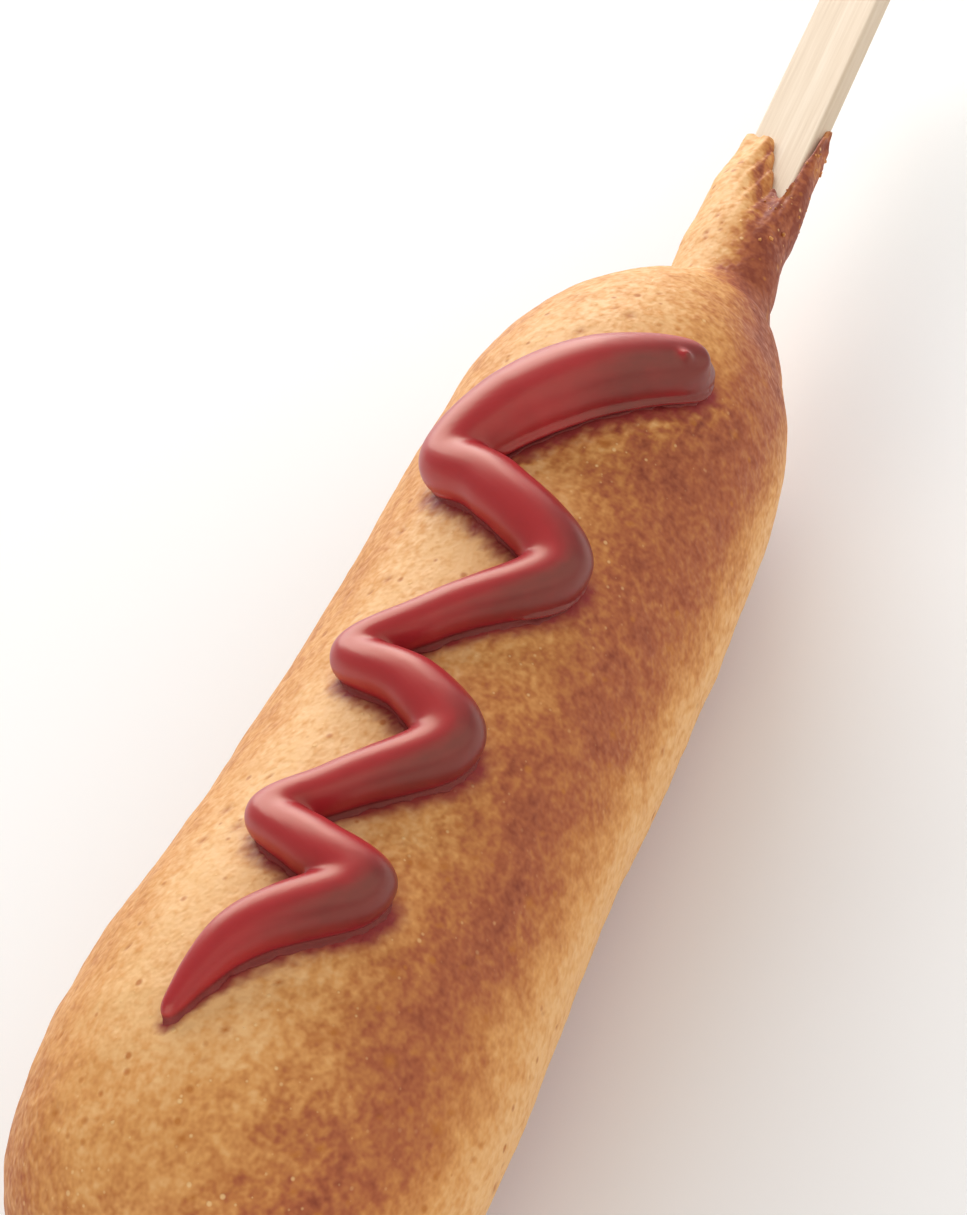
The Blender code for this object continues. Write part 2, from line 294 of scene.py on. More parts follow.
def write_points(mesh, points):
    """Moves a mesh's points to these places."""
    mesh.vertices.foreach_set("co", np.asarray(points, np.float32).ravel())
    mesh.update()


def read_normals(mesh):
    """A mesh's normals, one to each point."""
    normals = np.empty(len(mesh.vertices) * 3, np.float32)
    mesh.vertex_normals.foreach_get("vector", normals)
    return normals.reshape(-1, 3).astype(float)


def store(mesh, name, values):
    """Keeps a number for each point, which the material reads by name."""
    mesh.attributes.new(name, "FLOAT", "POINT").data.foreach_set("value", np.asarray(values, np.float32))


def wander(points, size, seed, octaves=1):
    """Smooth noise from about -1 to 1 at points in millimetres, with features of this size."""
    shift = Vector((seed * 17.3, seed * 5.1, seed * 9.7))
    if octaves == 1:
        values = (noise.noise(Vector(p) / size + shift) for p in points)
    else:
        values = (noise.fractal(Vector(p) / size + shift, 1.0, 2.0, octaves) for p in points)
    return np.fromiter(values, float, len(points))


def ease(low, high, value):
    """0 below low, 1 above high and smooth between."""
    t = np.clip((value - low) / (high - low), 0, 1)
    return t * t * (3 - 2 * t)


def bell(value, middle, width):
    """1 at the middle, falling to 0 over about twice the width on both sides."""
    return np.exp(-(((value - middle) / width) ** 2))


# ---------------------------------------------------------------- crust


def fried_cornmeal_crust(look):
    """Deep-fried cornmeal batter. Fat browns it unevenly, burst bubbles leave small brown pits and coarse
    meal stays pale; the eye sees a satin, finely grained golden brown."""
    material, tree, place = new_material("fried cornmeal batter")
    browning, pits, meal, sauce = (
        add(tree, "Attribute", gives="Fac", attribute_name=name)
        for name in ("browning", "pits", "meal", "sauce")
    )
    # browning varies over some 3 mm, down to single grains of 0.4 mm
    mottle = add(tree, "TexNoise", {"Vector": place, "Scale": per_mm(3.0), "Detail": 3.0, "Roughness": 0.62})
    grain = add(tree, "TexNoise", {"Vector": place, "Scale": per_mm(0.85), "Detail": 1.0, "Roughness": 0.6})
    fine = add(tree, "TexNoise", {"Vector": place, "Scale": per_mm(0.5), "Detail": 0.5, "Roughness": 0.6})
    uneven = add(tree, "MapRange", {"Value": meal, "To Min": 0.5, "To Max": 0.8})
    mottled = add(tree, "Math", {0: mottle, 1: 0.9, 2: grain}, operation="MULTIPLY_ADD")
    centred = add(tree, "Math", {0: mottled, 1: 0.95}, operation="SUBTRACT")
    spread = add(tree, "Math", {0: centred, 1: uneven}, operation="MULTIPLY")
    toasted = add(tree, "Math", {0: browning, 1: 0.82}, operation="MULTIPLY")
    level = add(tree, "Math", {0: spread, 1: look.mottling, 2: toasted}, operation="MULTIPLY_ADD")
    baked = add(
        tree,
        "ValToRGB",
        {"Fac": level},
        stops=[(0.0, look.pale), (0.3, look.gold), (0.55, look.amber), (0.76, look.brown), (1.0, look.dark)],
    )
    # pale grains of meal are about 0.4 mm across and 1 to 2 mm apart
    cells = {"Vector": place, "Scale": per_mm(0.9), "Randomness": 1.0}
    grains = add(tree, "TexVoronoi", cells)
    chance = add(tree, "TexVoronoi", cells, gives="Color")
    size = add(tree, "MapRange", {"Value": chance, "From Min": 0.48, "To Max": 0.37})
    within = add(tree, "Math", {0: size, 1: grains}, operation="SUBTRACT")
    grits = add(tree, "MapRange", {"Value": within, "From Min": 0.0, "From Max": 0.16, "To Max": 0.8})
    grit_share = add(tree, "Math", {0: grits, 1: meal}, operation="MULTIPLY")
    gritty = add(tree, "Mix", {0: grit_share, 6: baked, 7: (*look.grit, 1.0)}, gives=2, data_type="RGBA")
    # scorched specks are 0.3 to 0.9 mm across and some 2 mm apart
    cells = {"Vector": place, "Scale": per_mm(2.1), "Randomness": 1.0}
    specks = add(tree, "TexVoronoi", cells)
    lot = add(tree, "TexVoronoi", cells, gives="Color")
    reach = add(tree, "MapRange", {"Value": lot, "From Min": 0.25, "To Max": 0.28})
    scorched = add(tree, "Math", {0: reach, 1: specks}, operation="SUBTRACT")
    scorch = add(tree, "MapRange", {"Value": scorched, "From Min": -0.02, "From Max": 0.1, "To Max": 0.85})
    pit_share = add(tree, "Math", {0: pits, 1: scorch}, operation="MAXIMUM")
    pitted = add(tree, "Mix", {0: pit_share, 6: gritty, 7: (*look.pit, 1.0)}, gives=2, data_type="RGBA")
    # partly a ketchup stain, partly painted shadow that the bead casts on the side away from the lights
    stained = add(tree, "Mix", {0: sauce, 6: pitted, 7: (*look.stain_and_shadow, 1.0)}, gives=2, data_type="RGBA")
    # the skin is satin between the grains and matt on top of them
    rough = add(
        tree, "MapRange", {"Value": grain, "From Min": 0.3, "From Max": 0.7, "To Min": 0.45, "To Max": 0.65}
    )
    height = add(tree, "Math", {0: fine, 1: 0.5, 2: grain}, operation="MULTIPLY_ADD")
    raised = add(tree, "Math", {0: grit_share, 1: 0.5, 2: height}, operation="MULTIPLY_ADD")
    sunk = add(tree, "Math", {0: pits, 1: -0.3, 2: raised}, operation="MULTIPLY_ADD")
    bump = add(tree, "Bump", {"Height": sunk, "Strength": 0.75, "Distance": 0.14 * MM})
    shader = add(
        tree,
        "BsdfPrincipled",
        {"Base Color": stained, "Roughness": rough, "Normal": bump, "IOR": 1.46, "Specular IOR Level": 0.3},
    )
    add(tree, "OutputMaterial", {"Surface": shader})
    return material


def body_stations(step):
    """Places along X down the body, this far apart along its surface, from the tip to the neck."""
    samples = 400
    turn = np.linspace(0, np.pi / 2, samples)
    tip = THICK_X - (THICK_X - TIP_X) * np.cos(turn) ** (2 / TIP_ROUNDNESS)
    barrel = np.linspace(THICK_X, SHOULDER_X, samples)
    neck_turn = math.asin(math.sqrt(1 - (NECK_RADIUS / BARREL_RADII[-1]) ** SHOULDER_ROUNDNESS))
    turn = np.linspace(0, neck_turn, samples)
    shoulder = SHOULDER_X + (NECK_X - SHOULDER_X) * np.sin(turn) ** (2 / SHOULDER_ROUNDNESS)
    x = np.concatenate([tip, barrel[1:], shoulder[1:]])
    walked = np.concatenate([[0], np.cumsum(np.hypot(np.diff(x), np.diff(batter_radius(x))))])
    count = int(walked[-1] / step)
    return np.interp(np.linspace(step / 2, walked[-1], count), walked, x)


def collar_rings(angle, count):
    """The collar's outside from its foot to its ragged rim."""
    v = np.linspace(0, 1, count)[:, None]
    half_width = smooth_through(COLLAR_HALF_WIDTHS, v)
    half_height = smooth_through(COLLAR_HALF_HEIGHTS, v)
    y, z = half_width * np.cos(angle), half_height * np.sin(angle)
    # it thins to a lip of uneven thickness
    slim = 2.5 + 1.2 * np.minimum(np.cos(angle + 0.3), 0)
    thin = np.clip((v - COLLAR_MIDDLE) / (1 - COLLAR_MIDDLE), 0, 1) ** slim
    wall = LIP_WALL * (1 + 0.25 * np.sin(5 * angle + 1.0) + 0.2 * np.sin(11 * angle))
    lip_y, lip_z = lip_point(angle, wall)
    y, z = y + (lip_y - y) * thin, z + (lip_z - z) * thin
    x = COLLAR_X + (ragged_rim(angle) - COLLAR_X) * v
    ripple = 1 + 0.08 * np.sin(3 * angle + x / 3) * v * (1 - v)
    slimmer = ease(0.0, 0.35, v) * ease(1.0, 0.55, v)
    ripple = ripple - COLLAR_SLIM * np.exp(3 * (np.cos(angle - COLLAR_SLIM_ANGLE) - 1)) * slimmer
    return np.stack([x, *rolled(y * ripple, z * ripple)], -1)


def ragged_rim(angle):
    """The rim with the small teeth that torn batter leaves, 1 to 3 mm apart."""
    around = np.stack([np.cos(angle) * 5, np.sin(angle) * 4, np.zeros_like(angle)], -1)
    return rim_x(angle) + 0.55 * wander(around, 1.7, 3) + 0.35 * wander(around, 0.8, 4)


def lip_rings(angle):
    """From the rim's outside over its edge, in to the stick and back down the socket."""
    rim = ragged_rim(angle)
    steps = [(LIP_WALL * share, ahead) for share, ahead in LIP_EDGE]
    steps += [(-LIP_CLING, ahead) for ahead in LIP_BACK]
    rings = [np.stack([rim + ahead, *rolled(*lip_point(angle, wall))], -1) for wall, ahead in steps]
    socket_end = STICK_END_X - STICK_LENGTH - SOCKET_GAP
    for x in (COLLAR_X, (COLLAR_X + socket_end) / 2, socket_end):
        y, z = socket_point(angle, SOCKET_GAP)
        rings.append(np.stack([np.full_like(angle, x), *rolled(y, z)], -1))
    return rings


def crust_rings(look):
    """One closed skin from the tip over the rim to the socket's end, and how many of its rings are on
    the outside."""
    # a multiple of 8 puts a column on each corner of the socket
    columns = 8 * round(2 * math.pi * BARREL_RADII[2] / look.spacing / 8)
    angle = np.arange(columns) * 2 * math.pi / columns
    y, z = rolled(np.cos(angle), np.sin(angle))
    from_top = np.arctan2(y, z)
    x = body_stations(look.spacing)
    radius = batter_radius(x)
    centre_y, centre_z = batter_centre(x)
    # where the body is less than 14 mm in radius, its middle moves over to the stick's axis
    to_stick = np.clip((14 - radius) / (14 - NECK_RADIUS), 0, 1) * (x > SHOULDER_X)
    out = radius[:, None] + lump(x[:, None], from_top) * np.minimum(1, radius / 10)[:, None]
    body = np.stack(
        [
            np.repeat(x[:, None], columns, 1),
            (centre_y * (1 - to_stick))[:, None] + out * y,
            centre_z[:, None] + out * z,
        ],
        -1,
    )
    collar = collar_rings(angle, int(COLLAR_LENGTH / look.spacing))
    rings = np.concatenate([body, collar, np.array(lip_rings(angle))])
    return rings, len(body) + len(collar) + len(LIP_EDGE)


def loft(rings, first, last):
    """Points and faces of rings joined in order, closed by a point at each end."""
    count, columns = rings.shape[:2]
    points = np.concatenate([rings.reshape(-1, 3), [first, last]])
    here = np.arange(count * columns).reshape(count, columns)
    beside = np.roll(here, -1, 1)
    quads = np.stack([here[:-1], beside[:-1], beside[1:], here[1:]], -1).reshape(-1, 4)
    start, end = count * columns, count * columns + 1
    faces = quads.tolist()
    faces += [(start, int(b), int(a)) for a, b in zip(here[0], beside[0])]
    faces += [(end, int(a), int(b)) for a, b in zip(here[-1], beside[-1])]
    return points, faces


def sauce_near(points):
    """For points on the crust, in millimetres: how many half widths of the bead they are from its
    middle, and how far they lie on the side that it wetted and where its painted shadow falls, from -1 to 1."""
    arc = angle_from_top(points) * batter_radius(points[:, 0])
    share = np.full(len(points), 9.0)
    below = np.zeros(len(points))
    for x, middle, half in bead_line(0.8):
        dx, da = points[:, 0] - x, arc - middle
        far = np.hypot(dx, da)
        nearer = far / half < share
        share[nearer] = (far / half)[nearer]
        below[nearer] = ((WETTED_AND_SHADED_TO[0] * dx + WETTED_AND_SHADED_TO[1] * da) / np.maximum(far, 0.01))[nearer]
    return share, below


def crumbly(points):
    """How far the skin is broken into crumbs, which it is below the first stroke and on the collar."""
    share, below = sauce_near(points)
    by_stroke = ease(2.6, 1.2, share) * ease(0.1, 0.6, below)
    by_stroke = by_stroke * ease(-10, 2, points[:, 0]) * (points[:, 2] > 0)
    return np.maximum(by_stroke, 0.3 * ease(56, 64, points[:, 0]))


def pale_streaks(points):
    """Pale scuffs, some 3 mm long, on the skin between the ketchup's tail and the tip, from 0 to 1."""
    run, turn = 0.84, 0.54  # they run slantwise over the top
    along = run * points[:, 0] + turn * points[:, 1]
    across = turn * points[:, 0] - run * points[:, 1]
    scuffs = wander(np.stack([along / 4, across, points[:, 2] * 0.5], -1), 0.8, 32, 2)
    here = bell(points[:, 0], -68, 7) * bell(points[:, 1], -3, 9) * (points[:, 2] > 0)
    return ease(0.25, 0.6, scuffs) * here


def crust_browning(points):
    """How brown each point is, from 0 to 1, before the fine mottling."""
    x, y, z = points.T
    side = np.degrees(angle_from_top(points))
    # a band along the -Y side, with wandering edges, and the underside are fried most
    drift = 6 * wander(points, 15, 5, 2) + 3 * wander(points, 4, 15)
    low = -84 - 0.17 * x + drift
    high = -28 + 14 * bell(x, 7, 9) - 12 * ease(14, 28, x) + drift
    band = ease(low - 22, low + 22, side) * ease(high + 25, high - 25, side)
    under = ease(108, 140, np.abs(side) + drift)
    # the +Y side is paler, also near the tip
    flank = 0.42 * ease(14, 40, side)
    pale_side = 0.3 * ease(0, 15, y)
    tip = 0.5 * ease(-60, -78, x + 0.3 * drift) * (1 - pale_side)
    shoulder = 0.26 * ease(22, 38, x)
    brown = 1 - (1 - 0.93 * band) * (1 - 0.8 * under) * (1 - flank) * (1 - tip) * (1 - shoulder)
    at_tip = ease(-76, -83.5, x)
    brown = brown * (1 - at_tip) + (0.72 - 0.4 * pale_side) * at_tip
    # patches some 11, 3 and 1 mm wide, the last only low on the -Y side
    brown += 0.10 * wander(points, 11, 6, 3) + 0.09 * wander(points, 2.6, 16, 2)
    brown -= 0.35 * pale_streaks(points)
    brown += 0.3 * ease(-80, -96, side) * wander(points, 0.9, 33, 2)
    on_collar = ease(44, 52, x) * ease(12, 9, np.hypot(y, z))
    return np.clip(brown * (1 - on_collar) + on_collar * collar_browning(points), 0, 1.1)


def collar_browning(points):
    """How brown the collar is: one half is well fried, the other pale and singed towards its rim."""
    x, y, z = points.T
    across, through = rolled_back(y, z)
    round_stick = np.degrees(np.arctan2(through, across)) % 360
    to_rim = ragged_rim(np.radians(round_stick)) - x
    edge = 128 + 16 * ease(59, 69, x) + 9 * wander(points, 2.4, 7, 2)
    patch = ease(edge - 23, edge + 15, round_stick) * ease(275, 235, round_stick)
    patch = patch * (1 - 0.35 * ease(70, 77, x)) * (0.3 + 0.7 * ease(0.2, 1.9, to_rim))
    singed = ease(60, 88, round_stick) * ease(6.5, 1.5, to_rim + 2.5 * wander(points, 1.7, 8, 2))
    singed = singed * (0.55 + 0.45 * ease(-0.3, 0.5, to_rim))
    return 0.06 + 1.1 * patch + 0.9 * singed * (1 - patch)


def crust_meal(points):
    """How much coarse meal shows, from 0 on the smooth flank to 1 beside the top."""
    x = points[:, 0]
    side = np.degrees(angle_from_top(points)) + 10 * wander(points, 9, 25, 2)
    meal = 0.15 + 0.85 * ease(30, 5, side) * ease(-60, -20, side)
    meal += 0.35 * ease(-62, -78, x) + 0.8 * ease(54, 62, x)
    return np.clip(meal + 0.2 * wander(points, 5, 26), 0, 1)


def scatter_pits(points, normals, outside, look):
    """Presses small round pits into the skin where bubbles burst. Returns how deep in one each point is."""
    dice = random.Random(11)
    tree = kdtree.KDTree(len(outside))
    for i in outside:
        tree.insert(points[i], int(i))
    tree.balance()
    depth = np.zeros(len(points))
    for _ in range(look.pits):
        middle = points[dice.choice(outside)]
        radius = look.pit_radius * (0.5 + 1.5 * dice.random() ** 2.2)  # most are small, a few large
        reach = radius * 1.6  # with its soft edge
        for _, i, far in tree.find_range(middle, reach):
            share = 1 - (far / reach) ** 2
            depth[i] = max(depth[i], share**2 * min(1.0, radius / look.pit_radius))
    points -= normals * (depth * look.pit_depth)[:, None]
    return depth


def wetted(points):
    """How far ketchup has soaked into the crust and painted shadow darkens it, in a ragged strip beside the
    bead, from 0 to 1.
    """
    share, below = sauce_near(points)
    ragged = share + 0.22 * wander(points, 1.1, 12, 2)
    # strongest on the side away from the lights, where it is painted shadow as well as stain
    wet = ease(1.68, 1.03, ragged) * (0.2 + 0.8 * ease(-0.2, 0.5, below))
    return np.clip(wet * (points[:, 2] > 0), 0, 1)


def make_crust(look):
    """The batter's whole skin: the loft of its solid, swollen, grained and pitted, resting on its flat."""
    rings, outside_rings = crust_rings(look)
    columns = rings.shape[1]
    y, z = batter_centre(TIP_X)
    points, faces = loft(rings, (TIP_X, y, z), (rings[-1, 0, 0], 0.0, 0.0))
    crust = new_piece("crust", in_frame(points), faces, fried_cornmeal_crust(look))
    mesh = crust.data
    normals = read_normals(mesh)
    outside = np.concatenate([np.arange(outside_rings * columns), [len(points) - 2]])
    skin = points[outside]
    relief = np.zeros(len(points))
    relief[outside] = (
        look.swell * wander(skin, 9.0, 1, 2)
        + look.bumps * wander(skin, 3.1, 2, 2)
        + look.grain * wander(skin, 1.3, 9)
        + look.crumble * crumbly(skin) * wander(skin, 1.0, 27)
    )
    ring_of = np.arange(len(points)) // columns
    near_rim = ease(outside_rings - len(LIP_EDGE), outside_rings, ring_of)
    points = points + normals * (relief * (1 - near_rim))[:, None]
    pits = scatter_pits(points, normals, outside[: -PIT_FREE_RINGS * columns], look)
    points[:, 2] = np.maximum(points[:, 2], FLOOR_GAP - ORIGIN[2] / MM)
    write_points(mesh, in_frame(points))
    toasted_crumbs = crumbly(points) * (0.08 + 0.8 * wander(points, 0.9, 27))
    store(mesh, "browning", crust_browning(points) + toasted_crumbs)
    store(mesh, "meal", crust_meal(points))
    store(mesh, "pits", np.clip(pits, 0, 1))
    # partly a ketchup stain, partly painted shadow beside the bead
    store(mesh, "sauce", wetted(points))
    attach(crust, BODY)
    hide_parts("batter")
    return crust


def make_crumbs(look):
    """Loose grains of batter that stick to the collar, most of them near its rim."""
    dice = random.Random(23)
    ball = bmesh.new()
    bmesh.ops.create_icosphere(ball, subdivisions=2, radius=1.0)
    knobs = np.array([v.co for v in ball.verts])
    sides = np.array([[v.index for v in f.verts] for f in ball.faces])
    ball.free()
    rows = 60
    points, faces, browning = [], [], []
    for _ in range(look.crumbs):
        turn = math.radians(dice.uniform(120, 235))
        up_the_collar = collar_rings(np.array([turn]), rows)[:, 0]
        middle = up_the_collar[min(rows - 1, int(rows * dice.random() ** 0.4))]
        size = look.crumb_size * dice.uniform(0.5, 1.3) / 2
        swollen = knobs * (1 + 0.6 * wander(knobs * 1.7 + dice.uniform(0, 90), 1.0, 51))[:, None]
        squash = np.array([dice.uniform(0.7, 1.2) for _ in range(3)])
        faces.append(sides + len(knobs) * len(points))
        points.append(middle + swollen * squash * size)
        browning.append(np.full(len(knobs), dice.uniform(0.3, 0.85)))
    crumbs = new_piece(
        "crumbs", in_frame(np.concatenate(points)), np.concatenate(faces).tolist(), fried_cornmeal_crust(look)
    )
    store(crumbs.data, "browning", np.concatenate(browning))
    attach(crumbs, BODY)
    return crumbs


# ---------------------------------------------------------------- ketchup


def squeezed_ketchup(look):
    """Tomato ketchup squeezed from a nozzle: opaque, thick and wet, so it is deep red with broad soft
    reflections, and its flow leaves faint lengthwise streaks."""
    material, tree, place = new_material("squeezed tomato ketchup")
    across, along, flank, thin = (
        add(tree, "Attribute", gives="Fac", attribute_name=name)
        for name in ("across", "along", "flank", "thin")
    )
    flow = add(tree, "CombineXYZ", {"X": across, "Y": along})
    # streaks are about 1 mm apart and some 8 mm long, on coordinates that follow the bead
    streaks = add(tree, "TexNoise", {"Vector": flow, "Scale": 1.0, "Detail": 3.0, "Roughness": 0.55})
    pulp = add(tree, "TexNoise", {"Vector": place, "Scale": per_mm(1.6), "Detail": 3.0, "Roughness": 0.5})
    blotches = add(tree, "Math", {0: streaks, 1: 0.8, 2: pulp}, operation="MULTIPLY_ADD")
    faint = add(
        tree,
        "MapRange",
        {"Value": blotches, "From Min": 0.5, "From Max": 1.3, "To Min": -0.15, "To Max": 0.15},
    )
    # painted shade: the flank attribute darkens the side that faces away from the lights
    lit = add(tree, "Math", {0: faint, 1: flank}, operation="ADD")
    depth = add(tree, "Math", {0: thin, 1: 0.8, 2: lit}, operation="MULTIPLY_ADD")
    colour = add(tree, "ValToRGB", {"Fac": depth}, stops=[(0.0, look.red), (1.0, look.edge_and_shade_red)])
    rough = add(tree, "MapRange", {"Value": thin, "To Min": look.gloss, "To Max": 0.65})
    bump = add(tree, "Bump", {"Height": streaks, "Strength": 0.06, "Distance": 0.12 * MM})
    shader = add(
        tree,
        "BsdfPrincipled",
        {
            "Base Color": colour,
            "Roughness": rough,
            "Normal": bump,
            "IOR": 1.45,
            "Specular IOR Level": look.shine,
            "Specular Tint": (*look.glow, 1.0),
            "Subsurface Weight": 0.2,
            "Subsurface Radius": (1.0, 0.15, 0.1),
            "Subsurface Scale": 1.0 * MM,
        },
    )
    add(tree, "OutputMaterial", {"Surface": shader})
    return material


def bead_line(step):
    """Points along the bead's middle this far apart: X, arc and half width."""
    fine = np.linspace(0, 1, 4000)
    line = np.stack([smooth_through(knots, fine) for knots in zip(*BEAD)], -1)
    walked = np.concatenate([[0], np.cumsum(np.hypot(*np.diff(line[:, :2], axis=0).T))])
    count = int(walked[-1] / step)
    at = np.interp(np.linspace(0, walked[-1], count), walked, fine)
    return np.stack([smooth_through(knots, at) for knots in zip(*BEAD)], -1)


def soft_place(x, arc, line, blend):
    """For points on the batter: the squared distance to the bead's middle, its inner corners filled in
    over the blend, and the bead's half width there."""
    step = np.hypot(*(line[1, :2] - line[0, :2]))
    total = np.zeros_like(x)
    halves = np.zeros_like(x)
    nearest = np.full_like(x, np.inf)
    for px, pa, _ in line:
        nearest = np.minimum(nearest, (x - px) ** 2 + (arc - pa) ** 2)
    for px, pa, half in line:
        weight = np.exp((nearest - (x - px) ** 2 - (arc - pa) ** 2) / blend**2)
        total += weight
        halves += weight * half
    share = total * step / (math.sqrt(math.pi) * blend)
    return nearest - blend**2 * np.log(share), halves / total


def without_pinches(field, filled):
    """The field raised to the filled value wherever its skin would touch itself along an edge: there, only
    opposite corners of a square of the grid are inside."""
    for _ in range(6):
        for axis in range(3):
            turned = np.moveaxis(field, axis, 0)
            a, b = turned[:, :-1, :-1], turned[:, 1:, :-1]
            c, d = turned[:, 1:, 1:], turned[:, :-1, 1:]
            first = (a > 0) & (c > 0) & (b <= 0) & (d <= 0)
            second = (b > 0) & (d > 0) & (a <= 0) & (c <= 0)
            b[first] = filled
            a[second] = filled
    return field


def surface_nets(field, spacing):
    """Points and quads of the skin where a grid of values passes through 0; the inside is above 0."""
    inside = field > 0
    corners = np.indices((2, 2, 2)).reshape(3, -1).T
    cells = tuple(np.array(field.shape) - 1)
    hits = np.zeros(cells, int)
    places = np.zeros((*cells, 3))
    for a in corners:
        for axis in np.nonzero(a == 0)[0]:
            b = a.copy()
            b[axis] = 1
            one = field[tuple(slice(k, k + n) for k, n in zip(a, cells))]
            two = field[tuple(slice(k, k + n) for k, n in zip(b, cells))]
            crossed = (one > 0) != (two > 0)
            t = np.where(crossed, one / np.where(crossed, one - two, 1), 0)
            for k in range(3):
                places[..., k] += np.where(crossed, a[k] + (t if k == axis else 0), 0)
            hits += crossed
    used = hits > 0
    number = np.full(cells, -1)
    number[used] = np.arange(used.sum())
    points = (np.argwhere(used) + places[used] / hits[used][:, None]) * spacing
    quads = []
    for axis in range(3):
        u, v = (axis + 1) % 3, (axis + 2) % 3
        one = np.moveaxis(inside, (axis, u, v), (0, 1, 2))[:, 1:-1, 1:-1]
        cell = np.moveaxis(number, (axis, u, v), (0, 1, 2))
        out, into = one[:-1] & ~one[1:], ~one[:-1] & one[1:]
        ring = np.stack([cell[:, :-1, :-1], cell[:, 1:, :-1], cell[:, 1:, 1:], cell[:, :-1, 1:]], -1)
        quads += [ring[out], ring[into][:, ::-1]]
    return points, np.concatenate(quads)


def relaxed(points, quads, rounds):
    """The points, each moved towards the middle of its neighbours some times over."""
    ends = np.concatenate([quads[:, [k, (k + 1) % 4]] for k in range(4)])
    ends = np.concatenate([ends, ends[:, ::-1]])
    count = np.bincount(ends[:, 0], minlength=len(points))[:, None]
    for _ in range(rounds):
        summed = [np.bincount(ends[:, 0], points[ends[:, 1], k], len(points)) for k in range(3)]
        points = points + 0.6 * (np.stack(summed, -1) / count - points)
    return points


def blend_up(a, b, size):
    """The greater of two fields, with the seam between them filled in over this size."""
    t = np.clip(0.5 + 0.5 * (a - b) / size, 0, 1)
    return a * t + b * (1 - t) + size * t * (1 - t)


def end_heading(line):
    """The way the thick end points, as a unit vector in X and arc."""
    heading = line[0, :2] - line[5, :2]
    return heading / np.hypot(*heading)


def end_lobe(x, arc, line):
    """1 on the low lobe that wraps round the thick end, 0 on the rope proper."""
    heading = end_heading(line)
    inner = line[0, :2] - 1.7 * heading
    off_x, off_arc = x - inner[0], arc - inner[1]
    ahead = off_x * heading[0] + off_arc * heading[1]
    return ease(2.2, 3.4, np.hypot(off_x, off_arc)) * ease(-0.4, 1.2, ahead)


def end_peak(x, arc, line):
    """The height of the small peak, 0.7 mm tall, where the nozzle first touched down."""
    heading = end_heading(line)
    top = line[0, :2] - 2.0 * heading - 0.9 * np.array([-heading[1], heading[0]])
    return 0.7 * np.exp(-((x - top[0]) ** 2 + (arc - top[1]) ** 2) / 0.55**2)


def ketchup_field(look, line):
    """A grid over X, arc and height over the batter, above 0 inside the ketchup, and its first corner."""
    margin, deepest, highest = 6, -1.7, 6.2
    low = np.array([line[:, 0].min() - margin, line[:, 1].min() - margin, deepest])
    high = np.array([line[:, 0].max() + margin, line[:, 1].max() + margin, highest])
    axes = [np.arange(a, b, look.detail) for a, b in zip(low, high)]
    x, arc = np.meshgrid(axes[0], axes[1], indexing="ij")
    height = axes[2]
    square, half = soft_place(x, arc, line, look.blend)
    far = np.sqrt(np.maximum(square, 0))
    slope_x, slope_arc = np.gradient(far, look.detail)
    steep = np.maximum(np.hypot(slope_x, slope_arc), 0.05)
    to_tip = ease(0.0, 0.75, (SLID_TO[0] * slope_x + SLID_TO[1] * slope_arc) / steep)
    flat = np.stack([x.ravel(), arc.ravel(), np.zeros(x.size)], -1)
    uneven = wander(flat, 2.6, 41, 2).reshape(x.shape)
    ragged = wander(flat, 0.8, 42, 2).reshape(x.shape)
    # the rope, sunk a little into the crust
    tall = np.minimum(BEAD_HEIGHT * half, look.tallest) + 0.35
    tall = tall * (1 - look.step * end_lobe(x, arc, line)) + end_peak(x, arc, line)
    width = half * (1 - 0.08 * to_tip * ease(0.4, 0.9, far / half)) + 0.06 * uneven
    up = height - BEAD_FATTEST * tall[..., None]
    reach = np.where(up > 0, (1 - BEAD_FATTEST) * tall[..., None], 0.5 * tall[..., None])
    rope = 1 - np.sqrt(np.maximum((square / width**2)[..., None] + (up / reach) ** 2, 0))
    # the fringe, 0.36 mm thick
    fringe = half + look.fringe * (0.1 + 0.9 * to_tip) * (0.75 + 0.8 * uneven) + 0.2 * ragged
    skirt = 1 - np.sqrt((far / fringe)[..., None] ** 2 + (height / 0.36) ** 2)
    # the lip, 0.85 mm up the lower flank, in places, and all round the thick end
    where = ease(-16, 4, x + 24 * wander(flat, 9, 43).reshape(x.shape))
    round_end = ease(5.2, 3.6, np.hypot(x - line[0, 0], arc - line[0, 1]))
    lip = look.lip * np.maximum(to_tip, 0.9 * round_end) * ease(0.85, 1.0, steep) * where
    ridge = lip[..., None] - np.sqrt(((far - 0.96 * half)[..., None]) ** 2 + (height - 0.85) ** 2)
    seam = 0.03
    field = blend_up(blend_up(rope, ridge / 3, seam), skirt * 0.3, seam)
    return without_pinches(field, 0.01), low


def make_ketchup(look):
    """A rope laid in a zigzag: its strokes run together where they meet, a low lobe wraps round its
    thick end below a small peak, a thin lip stands along the flank towards the tip, and a thin fringe
    soaks out from under it."""
    line = bead_line(0.5)
    field, corner = ketchup_field(look, line)
    points, quads = surface_nets(field, look.detail)
    points = relaxed(points + corner, quads, 3)
    across, along = bead_place(points[:, 0], points[:, 1], line)
    flow = np.stack([across * 2.0, along * 0.06, np.zeros(len(points))], -1)
    points[:, 2] += look.streaks * wander(flow, 1.0, 21, 2) * ease(0.3, 1.5, points[:, 2])
    skin = on_batter(points[:, 0], points[:, 1], points[:, 2])
    rope = new_piece("ketchup_zigzag", in_frame(skin), quads.tolist(), squeezed_ketchup(look))
    # painted shade: the flank that faces -Y, away from the lights, is darkened towards the deep red, most of
    # all far down that side
    facing = read_normals(rope.data) @ np.array([-0.15, -0.97, 0.2])
    store(rope.data, "across", across * 3.2)
    store(rope.data, "along", along * 0.12)
    store(rope.data, "flank", ease(0.3, 0.85, facing) * (0.15 + 0.85 * ease(-1, -7.5, points[:, 1])))
    store(rope.data, "thin", ease(0.9, 0.35, points[:, 2]))
    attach(rope, BODY)
    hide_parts("ketchup")
    return rope


